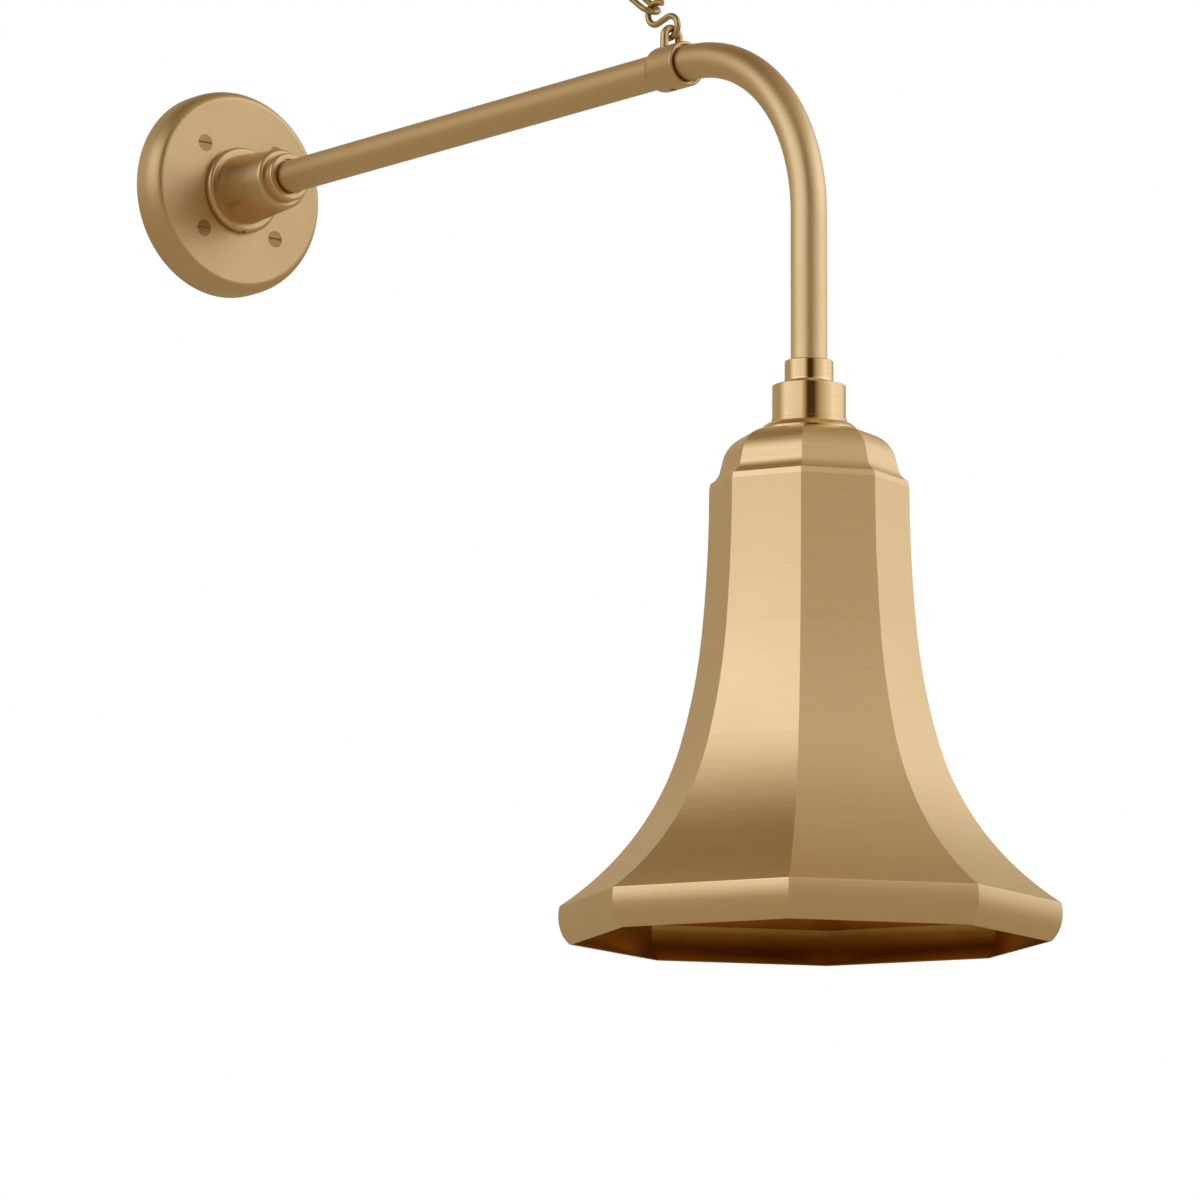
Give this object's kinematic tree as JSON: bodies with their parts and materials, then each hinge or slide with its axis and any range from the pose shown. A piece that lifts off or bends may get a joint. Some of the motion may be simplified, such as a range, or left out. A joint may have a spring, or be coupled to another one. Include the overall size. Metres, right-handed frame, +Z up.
{
  "type": "wall lamp",
  "caption": "Brass wall lamp with an eight-sided bell shade hung from a bent arm, a round wall plate and a chain stay from the arm to the wall.",
  "frame": {"origin": "centre of the wall plate's back, on the wall", "axes": "+Z up, +Y into the wall, so the arm reaches out along -Y and the shade hangs below its outer end"},
  "size_m": [0.2724, 0.7082, 0.8613],
  "materials": {
    "brass_antique": "satin antique brass, finely brushed",
    "brass_polished": "smooth lacquered brass",
    "brass_shade": "sheet brass, brushed, satin",
    "brass_wire": "aged brass wire",
    "contact_brass": "bright spring brass",
    "steel_plate": "zinc-plated steel",
    "steel_black": "black oxide steel",
    "shell_metal": "rolled thread shell, plain",
    "ceramic_white": "glazed white ceramic",
    "lamp_metal": "bright aluminium",
    "lamp_black": "black glass insulator",
    "lamp_frosted": "frosted white glass"
  },
  "bodies": {
    "lamp_frame": {"wall_plate": "brass_antique", "plate_screws": "brass_antique", "backing_plate": "steel_plate", "arm_hub": "brass_antique", "hub_grub_screw": "steel_black", "arm_tube": "brass_antique", "arm_washer": "steel_plate", "arm_nut": "steel_plate", "chain_collar": "brass_antique", "collar_grub_screw": "steel_black", "chain_rosette": "brass_antique", "rosette_screws": "brass_antique", "arm_ferrule": "brass_polished", "nipple": "steel_plate", "nipple_nut": "steel_plate", "socket_cup": "brass_polished", "shade_flange": "brass_polished", "shade": "brass_shade", "shade_ring": "ceramic_white", "holder_cap": "brass_antique", "holder_body": "ceramic_white", "terminal_screws": "steel_plate", "screw_shell": "shell_metal", "centre_contact": "contact_brass"},
    "lamp": {"lamp_cap": "lamp_metal", "lamp_insulator": "lamp_black", "lamp_tip": "lamp_metal", "lamp_glass": "lamp_frosted"},
    "s_hook": {"s_hook": "brass_wire"},
    "link_01": {"chain_link_01": "brass_wire"},
    "link_02": {"chain_link_02": "brass_wire"},
    "link_03": {"chain_link_03": "brass_wire"},
    "link_04": {"chain_link_04": "brass_wire"},
    "link_05": {"chain_link_05": "brass_wire"},
    "link_06": {"chain_link_06": "brass_wire"},
    "link_07": {"chain_link_07": "brass_wire"},
    "link_08": {"chain_link_08": "brass_wire"},
    "link_09": {"chain_link_09": "brass_wire"},
    "link_10": {"chain_link_10": "brass_wire"},
    "link_11": {"chain_link_11": "brass_wire"},
    "link_12": {"chain_link_12": "brass_wire"}
  },
  "joints": [
    {"name": "lamp_unscrew", "type": "hinge", "parent": "lamp_frame", "child": "lamp", "pos_m": [0, -0.558, -0.3], "axis": [0, 0, -1], "range_deg": [0, 1440]},
    {"name": "hook_swing", "type": "hinge", "parent": "lamp_frame", "child": "s_hook", "pos_m": [0, -0.4388, 0.0227], "axis": [1, 0, 0], "range_deg": [-2, 2]},
    {"name": "link_12_twist", "type": "hinge", "parent": "lamp_frame", "child": "link_12", "pos_m": [-0.00008, -0.03663, 0.32209], "axis": [0.0037, 0.8039, 0.5948], "range_deg": [-15, 15]},
    {"name": "link_11_twist", "type": "hinge", "parent": "link_12", "child": "link_11", "pos_m": [-0.00023, -0.07009, 0.29733], "axis": [0.0037, 0.8039, 0.5948], "range_deg": [-15, 15]},
    {"name": "link_10_twist", "type": "hinge", "parent": "link_11", "child": "link_10", "pos_m": [-0.00038, -0.10356, 0.27257], "axis": [0.0037, 0.8039, 0.5948], "range_deg": [-15, 15]},
    {"name": "link_09_twist", "type": "hinge", "parent": "link_10", "child": "link_09", "pos_m": [-0.00053, -0.13702, 0.24781], "axis": [0.0037, 0.8039, 0.5948], "range_deg": [-15, 15]},
    {"name": "link_08_twist", "type": "hinge", "parent": "link_09", "child": "link_08", "pos_m": [-0.00068, -0.17048, 0.22304], "axis": [0.0037, 0.8039, 0.5948], "range_deg": [-15, 15]},
    {"name": "link_07_twist", "type": "hinge", "parent": "link_08", "child": "link_07", "pos_m": [-0.00084, -0.20394, 0.19828], "axis": [0.0037, 0.8039, 0.5948], "range_deg": [-15, 15]},
    {"name": "link_06_twist", "type": "hinge", "parent": "link_07", "child": "link_06", "pos_m": [-0.00099, -0.23741, 0.17352], "axis": [0.0037, 0.8039, 0.5948], "range_deg": [-15, 15]},
    {"name": "link_05_twist", "type": "hinge", "parent": "link_06", "child": "link_05", "pos_m": [-0.00114, -0.27087, 0.14876], "axis": [0.0037, 0.8039, 0.5948], "range_deg": [-15, 15]},
    {"name": "link_04_twist", "type": "hinge", "parent": "link_05", "child": "link_04", "pos_m": [-0.00129, -0.30433, 0.124], "axis": [0.0037, 0.8039, 0.5948], "range_deg": [-15, 15]},
    {"name": "link_03_twist", "type": "hinge", "parent": "link_04", "child": "link_03", "pos_m": [-0.00144, -0.33779, 0.09924], "axis": [0.0037, 0.8039, 0.5948], "range_deg": [-15, 15]},
    {"name": "link_02_twist", "type": "hinge", "parent": "link_03", "child": "link_02", "pos_m": [-0.0016, -0.37125, 0.07448], "axis": [0.0037, 0.8039, 0.5948], "range_deg": [-15, 15]},
    {"name": "link_01_twist", "type": "hinge", "parent": "link_02", "child": "link_01", "pos_m": [-0.00175, -0.40472, 0.04972], "axis": [0.0037, 0.8039, 0.5948], "range_deg": [-15, 15]}
  ],
  "couplings": [
    {"joint": "link_11_twist", "follows": "link_12_twist", "ratio": 1},
    {"joint": "link_10_twist", "follows": "link_12_twist", "ratio": 1},
    {"joint": "link_09_twist", "follows": "link_12_twist", "ratio": 1},
    {"joint": "link_08_twist", "follows": "link_12_twist", "ratio": 1},
    {"joint": "link_07_twist", "follows": "link_12_twist", "ratio": 1},
    {"joint": "link_06_twist", "follows": "link_12_twist", "ratio": -1},
    {"joint": "link_05_twist", "follows": "link_12_twist", "ratio": -1},
    {"joint": "link_04_twist", "follows": "link_12_twist", "ratio": -1},
    {"joint": "link_03_twist", "follows": "link_12_twist", "ratio": -1},
    {"joint": "link_02_twist", "follows": "link_12_twist", "ratio": -1},
    {"joint": "link_01_twist", "follows": "link_12_twist", "ratio": -1}
  ]
}
